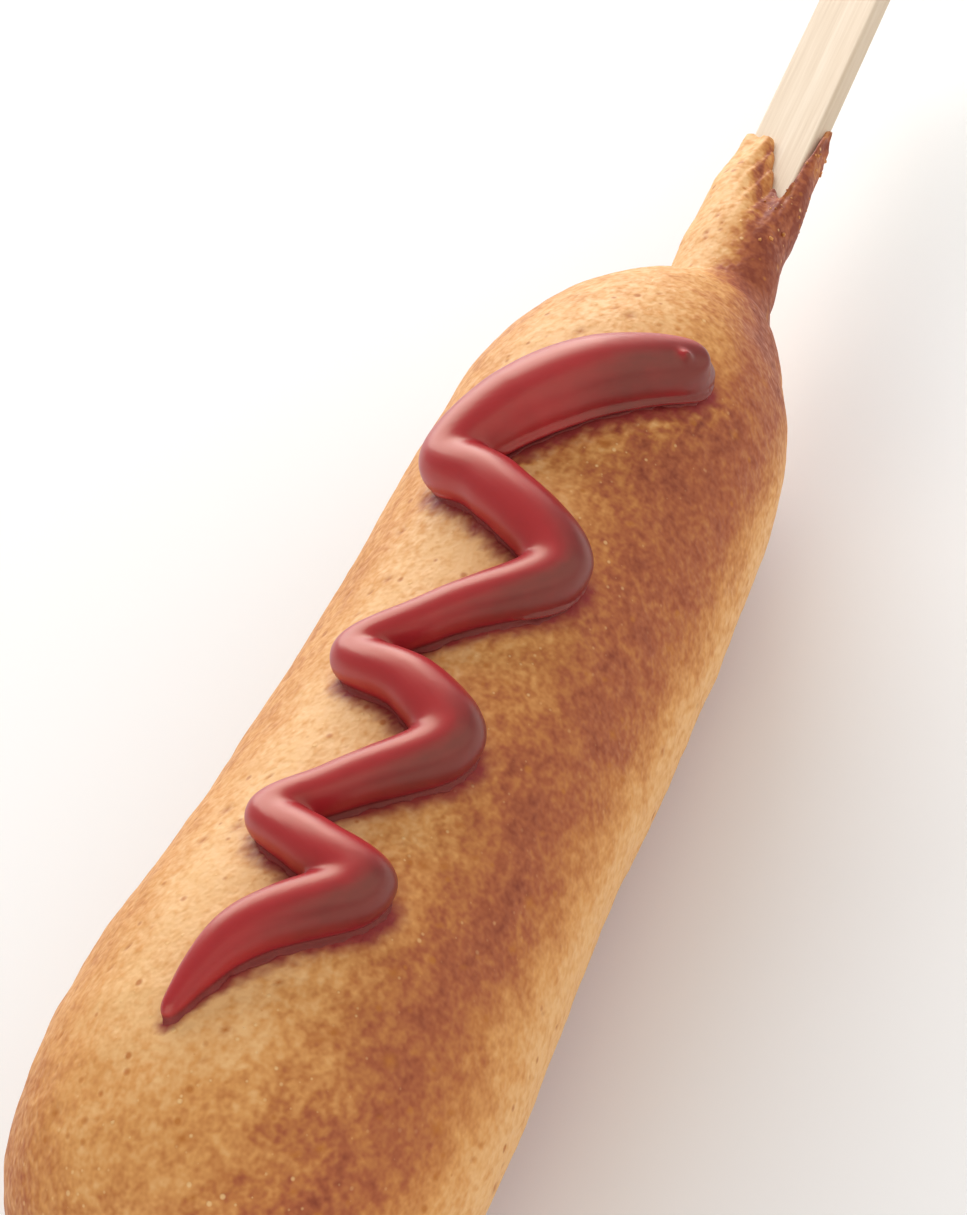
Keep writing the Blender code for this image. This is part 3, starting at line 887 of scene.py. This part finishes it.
def bead_place(x, arc, line):
    """How far across the bead each point lies, in half widths, and how far along it."""
    walked = np.concatenate([[0], np.cumsum(np.hypot(*np.diff(line[:, :2], axis=0).T))])
    ahead = np.gradient(line[:, :2], axis=0)
    ahead /= np.hypot(*ahead.T)[:, None]
    share = np.full(len(x), 9.0)
    across, along = np.zeros(len(x)), np.zeros(len(x))
    for i, (px, pa, half) in enumerate(line):
        dx, da = x - px, arc - pa
        far = np.hypot(dx, da) / half
        nearer = far < share
        share[nearer] = far[nearer]
        across[nearer] = ((dx * -ahead[i, 1] + da * ahead[i, 0]) / half)[nearer]
        along[nearer] = walked[i]
    return across, along


# ---------------------------------------------------------------- stick


def sanded_birch(look):
    """Birch veneer stick, die-cut and tumbled smooth: cream, matt, with fine darker fibres along it."""
    material, tree, place = new_material("sanded birch")
    # fibres are about 0.4 mm apart and 16 mm long, in bands about 2 mm wide
    fibres_at = add(tree, "Mapping", {"Vector": place, "Scale": (per_mm(16), per_mm(0.42), per_mm(0.42))})
    fibres = add(tree, "TexNoise", {"Vector": fibres_at, "Scale": 1.0, "Detail": 4.0, "Roughness": 0.6})
    bands_at = add(tree, "Mapping", {"Vector": place, "Scale": (per_mm(60), per_mm(2.2), per_mm(2.2))})
    bands = add(tree, "TexNoise", {"Vector": bands_at, "Scale": 1.0, "Detail": 2.0})
    shade = add(tree, "Math", {0: bands, 1: 0.5, 2: fibres}, operation="MULTIPLY_ADD")
    stops = [(0.42, look.fibre), (0.72, look.wood), (1.0, look.pale)]
    colour = add(tree, "ValToRGB", {"Fac": shade}, stops=stops)
    bump = add(tree, "Bump", {"Height": fibres, "Strength": 0.2, "Distance": 0.08 * MM})
    shader = add(
        tree,
        "BsdfPrincipled",
        {"Base Color": colour, "Roughness": 0.6, "Normal": bump, "IOR": 1.5, "Specular IOR Level": 0.35},
    )
    add(tree, "OutputMaterial", {"Surface": shader})
    return material


def make_stick(look):
    """A flat stick with two round ends, its edges tumbled soft and its faces lightly grained."""
    half, reach = STICK_WIDTH / 2, STICK_LENGTH / 2
    straight = reach - half
    # stations along it: close together round the ends, 0.8 mm apart between them
    turn = np.linspace(0, np.pi / 2, 16)[1:-1]
    nose = half * (1 - np.cos(turn))
    x = np.concatenate([-reach + nose, np.arange(-straight, straight + 0.1, 0.8), reach - nose[::-1]])
    # each section: 25 points over the top, 3 down the edge, and the same below
    past = np.maximum(np.abs(x) - straight, 0)
    half_width = np.sqrt(np.maximum(half**2 - past**2, 0))
    column = np.sin(np.linspace(-np.pi / 2, np.pi / 2, 27))[1:-1]
    y_top = half_width[:, None] * column
    inset = half - np.hypot(past[:, None], y_top)
    soft = look.edge
    top = STICK_THICKNESS / 2 - soft + np.sqrt(np.maximum(soft**2 - np.maximum(soft - inset, 0) ** 2, 0))
    wall = (STICK_THICKNESS / 2 - soft) * np.array([0.9, 0.0, -0.9])
    rings = []
    for i, station in enumerate(x):
        y = np.concatenate([y_top[i], [half_width[i]] * 3, y_top[i][::-1], [-half_width[i]] * 3])
        z = np.concatenate([top[i], wall, -top[i][::-1], wall[::-1]])
        rings.append(np.stack([np.full_like(y, station), y, z], -1))
    rings = np.array(rings)
    flat = rings.reshape(-1, 3)
    # only the broad faces are grained
    grain = look.grain * wander(flat / np.array([14, 1, 1]), 0.55, 31, 2)
    flat[:, 2] += grain * np.sign(flat[:, 2]) * (np.abs(flat[:, 2]) > 0.8)
    rings = flat.reshape(rings.shape)
    middle_x = STICK_END_X - reach
    y, z = rolled(rings[..., 1], rings[..., 2])
    rings = np.stack([rings[..., 0] + middle_x, y, z], -1)
    points, faces = loft(rings[:, ::-1], (middle_x - reach, 0, 0), (middle_x + reach, 0, 0))
    stick = new_piece("birch_stick", in_frame(points), faces, sanded_birch(look))
    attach(stick, BODY)
    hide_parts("stick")
    return stick


# ---------------------------------------------------------------- stage


def make_stage(look):
    """A pale floor; a broad main light beyond the stick on the left, a small one straight beyond it, and
    weaker ones on the right and before the tip; an even light from all round; and the camera."""
    material, tree, place = new_material("matt white paper")
    tooth = add(tree, "TexNoise", {"Vector": place, "Scale": per_mm(1.5), "Detail": 2.0})
    bump = add(tree, "Bump", {"Height": tooth, "Strength": 0.05, "Distance": 0.1 * MM})
    shader = add(tree, "BsdfPrincipled", {"Base Color": (*look.floor, 1.0), "Roughness": 0.9, "Normal": bump})
    add(tree, "OutputMaterial", {"Surface": shader})
    corners = [(x * FLOOR_HALF, y * FLOOR_HALF, 0) for x, y in ((-1, -1), (1, -1), (1, 1), (-1, 1))]
    floor = new_piece("floor", corners, [(0, 1, 2, 3)], material)
    world = bpy.data.worlds.new("studio")
    bpy.context.scene.world = world
    world.use_nodes = True
    sky = world.node_tree.nodes["Background"].inputs
    sky["Color"].default_value = (1, 1, 1, 1)
    sky["Strength"].default_value = look.room
    for name in ("small", "side", "front", "main"):
        place = Vector(getattr(look, name + "_at"))
        lamp = bpy.data.lights.new(name, "AREA")
        lamp.shape = "RECTANGLE"
        lamp.size, lamp.size_y = getattr(look, name + "_size")
        lamp.energy = getattr(look, name + "_power")
        made = bpy.data.objects.new(name, lamp)
        made.location = place
        made.rotation_euler = (-place).to_track_quat("-Z", "Y").to_euler()
        bpy.context.scene.collection.objects.link(made)
    camera = bpy.data.cameras.new("camera")
    camera.sensor_fit = "VERTICAL"
    camera.sensor_height = CAMERA_SENSOR
    camera.lens = CAMERA_LENS
    viewer = bpy.data.objects.new("camera", camera)
    at, aim = Vector(in_frame(CAMERA_AT)), Vector(in_frame(CAMERA_AIM))
    turned = (aim - at).to_track_quat("-Z", "Y")
    viewer.location = at
    viewer.rotation_euler = (turned.to_matrix() @ Matrix.Rotation(CAMERA_ROLL, 3, "Z")).to_euler()
    bpy.context.scene.collection.objects.link(viewer)
    bpy.context.scene.camera = viewer
    bpy.context.scene.view_settings.view_transform = "Standard"


# ---------------------------------------------------------------- settings


def colour_of(name, description, sheet):
    """A colour to set, from six hex digits."""
    return FloatVectorProperty(
        name=name, description=description, subtype="COLOR", size=3, min=0, max=1, default=linear(sheet)
    )


def size_of(name, description, millimetres):
    """A size to set, in millimetres."""
    return FloatProperty(
        name=name + " (mm)", description=description, default=millimetres, min=0, precision=3
    )


def share_of(name, description, share):
    """A share to set, from 0 to 1."""
    return FloatProperty(name=name, description=description, subtype="FACTOR", min=0, max=1, default=share)


def place_of(name, description, place):
    """A place to set, in metres."""
    return FloatVectorProperty(
        name=name, description=description, subtype="TRANSLATION", unit="LENGTH", size=3, default=place
    )


def spread_of(name, description, sizes):
    """A light's width and height to set, in metres."""
    return FloatVectorProperty(name=name, description=description, unit="LENGTH", size=2, default=sizes)


def power_of(name, description, watts):
    """A light's power to set, in watts."""
    return FloatProperty(name=name, description=description, subtype="POWER", min=0, default=watts)


class CorndogCrust(bpy.types.PropertyGroup):
    """Sizes and colours of the fried crust."""

    spacing: size_of("Spacing", "Distance between the points of its mesh", 0.5)
    swell: size_of("Swell", "Height of the broad swellings of a hand-dipped coat", 0.2)
    bumps: size_of("Bumps", "Height of the bumps a few millimetres wide", 0.09)
    grain: size_of("Grain", "Height of the fine grain", 0.04)
    crumble: size_of("Crumble", "Height of the roughness where the skin is crumbly", 0.14)
    pits: IntProperty(name="Pits", description="How many burst bubbles", default=420, min=0)
    pit_radius: size_of("Pit radius", "Radius of a usual pit", 0.34)
    pit_depth: size_of("Pit depth", "Depth of the deepest pits", 0.09)
    crumbs: IntProperty(name="Crumbs", description="How many loose crumbs", default=26, min=0)
    crumb_size: size_of("Crumb size", "Width of a usual crumb", 0.45)
    mottling: FloatProperty(name="Mottling", description="How much the browning varies", default=0.9, min=0)
    pale: colour_of("Pale", "Least fried batter", "E9B578")
    gold: colour_of("Gold", "Golden batter", "D89855")
    amber: colour_of("Amber", "Well fried batter", "BF783D")
    brown: colour_of("Brown", "Brown batter", "A85A34")
    dark: colour_of("Dark", "Most fried batter", "883E26")
    grit: colour_of("Grit", "Coarse corn meal", "EDBF82")
    pit: colour_of("Pit", "Burst bubbles", "B86E2C")
    # the stain colour is also painted shadow beside the bead, on the side away from the lights
    stain_and_shadow: colour_of("Stain", "Crust that ketchup has wetted", "8E2F2C")


class CorndogKetchup(bpy.types.PropertyGroup):
    """Sizes and colours of the ketchup."""

    detail: size_of("Detail", "Size of the smallest detail of its mesh", 0.2)
    blend: size_of("Blend", "How far strokes that meet run together", 1.1)
    fringe: size_of("Fringe", "How far the thin fringe reaches", 0.4)
    tallest: size_of("Height", "Its greatest height", 5.6)
    lip: size_of("Lip", "Size of the lip along the lower flank", 0.42)
    step: share_of("Step", "How much lower the lobe round its thick end is", 0.36)
    streaks: size_of("Streaks", "Height of the streaks along its flow", 0.02)
    gloss: share_of("Gloss", "Roughness of its wet skin", 0.34)
    shine: share_of("Shine", "Strength of its reflections", 0.78)
    glow: colour_of("Glow", "Tint of its reflections", "FFECC8")
    red: colour_of("Red", "Ketchup in the light", "AA212C")
    # the deep red is painted shade down the flank that faces away from the lights, and the colour of the thin
    # edges
    edge_and_shade_red: colour_of("Deep red", "Ketchup at its thin edges and down its shaded flank", "741D22")


class CorndogStick(bpy.types.PropertyGroup):
    """Sizes and colours of the stick."""

    edge: size_of("Edge", "Radius of its tumbled edges", 0.4)
    grain: size_of("Grain", "Height of its raised grain", 0.02)
    wood: colour_of("Wood", "Its usual colour", "D9C3A8")
    pale: colour_of("Pale wood", "Its palest bands", "E2CFB7")
    fibre: colour_of("Fibre", "Its darker fibres", "CFB79B")


class CorndogStage(bpy.types.PropertyGroup):
    """The floor and the lights."""

    floor: colour_of("Floor", "Its colour", "F8F7F5")
    room: FloatProperty(name="Room", description="Strength of the light from all round", default=0.44)
    main_at: place_of("Main", "Where the broad main light hangs, beyond the stick", (0.70, 0.57, 0.43))
    main_size: spread_of("Main size", "Its width and height", (1.0, 0.85))
    main_power: power_of("Main power", "Power of the main light", 11.2)
    small_at: place_of("Small", "Where the small light behind the thick end hangs", (0.92, 0.16, 0.37))
    small_size: spread_of("Small size", "Its width and height", (0.6, 0.5))
    small_power: power_of("Small power", "Power of the small light", 1.3)
    side_at: place_of("Side", "Where the high light on the right hangs", (0.05, -0.8, 0.6))
    side_size: spread_of("Side size", "Its width and height", (1.4, 1.2))
    side_power: power_of("Side power", "Power of the light on the right", 4.0)
    front_at: place_of("Front", "Where the low light before the tip stands", (-0.97, 0.0, 0.30))
    front_size: spread_of("Front size", "Its width and height", (1.2, 0.6))
    front_power: power_of("Front power", "Power of the light before the tip", 3.4)


# ---------------------------------------------------------------- operators and panel


class CORNDOG_OT_crust(bpy.types.Operator):
    """Make the fried crust in place of the plain batter"""

    bl_idname = "corndog.crust"
    bl_label = "Crust"

    def execute(self, context):
        make_crust(context.scene.corndog_crust)
        return {"FINISHED"}


class CORNDOG_OT_crumbs(bpy.types.Operator):
    """Scatter crumbs on the collar"""

    bl_idname = "corndog.crumbs"
    bl_label = "Crumbs"

    def execute(self, context):
        make_crumbs(context.scene.corndog_crust)
        return {"FINISHED"}


class CORNDOG_OT_ketchup(bpy.types.Operator):
    """Make the zigzag of ketchup"""

    bl_idname = "corndog.ketchup"
    bl_label = "Ketchup"

    def execute(self, context):
        make_ketchup(context.scene.corndog_ketchup)
        return {"FINISHED"}


class CORNDOG_OT_stick(bpy.types.Operator):
    """Make the birch stick"""

    bl_idname = "corndog.stick"
    bl_label = "Stick"

    def execute(self, context):
        make_stick(context.scene.corndog_stick)
        return {"FINISHED"}


class CORNDOG_OT_stage(bpy.types.Operator):
    """Make the floor, the lights and the camera"""

    bl_idname = "corndog.stage"
    bl_label = "Stage"

    def execute(self, context):
        make_stage(context.scene.corndog_stage)
        return {"FINISHED"}


STEPS = (CORNDOG_OT_crust, CORNDOG_OT_crumbs, CORNDOG_OT_ketchup, CORNDOG_OT_stick, CORNDOG_OT_stage)


class CORNDOG_PT_steps(bpy.types.Panel):
    """The steps that dress the corn dog"""

    bl_idname = "CORNDOG_PT_steps"
    bl_label = "Corn dog"
    bl_space_type = "VIEW_3D"
    bl_region_type = "UI"
    bl_category = "Corn dog"

    def draw(self, context):
        for step in STEPS:
            self.layout.operator(step.bl_idname)


LOOKS = {
    "corndog_crust": CorndogCrust,
    "corndog_ketchup": CorndogKetchup,
    "corndog_stick": CorndogStick,
    "corndog_stage": CorndogStage,
}
CLASSES = (*LOOKS.values(), *STEPS, CORNDOG_PT_steps)


def register():
    """Makes the steps, their settings and the panel known to Blender."""
    for made in CLASSES:
        bpy.utils.register_class(made)
    for name, group in LOOKS.items():
        setattr(bpy.types.Scene, name, PointerProperty(type=group))


def unregister():
    """Takes them away again."""
    for name in LOOKS:
        delattr(bpy.types.Scene, name)
    for made in reversed(CLASSES):
        bpy.utils.unregister_class(made)


def main():
    """Takes every step in order."""
    register()
    for step in STEPS:
        group, action = step.bl_idname.split(".")
        getattr(getattr(bpy.ops, group), action)()


if __name__ == "__main__":
    main()
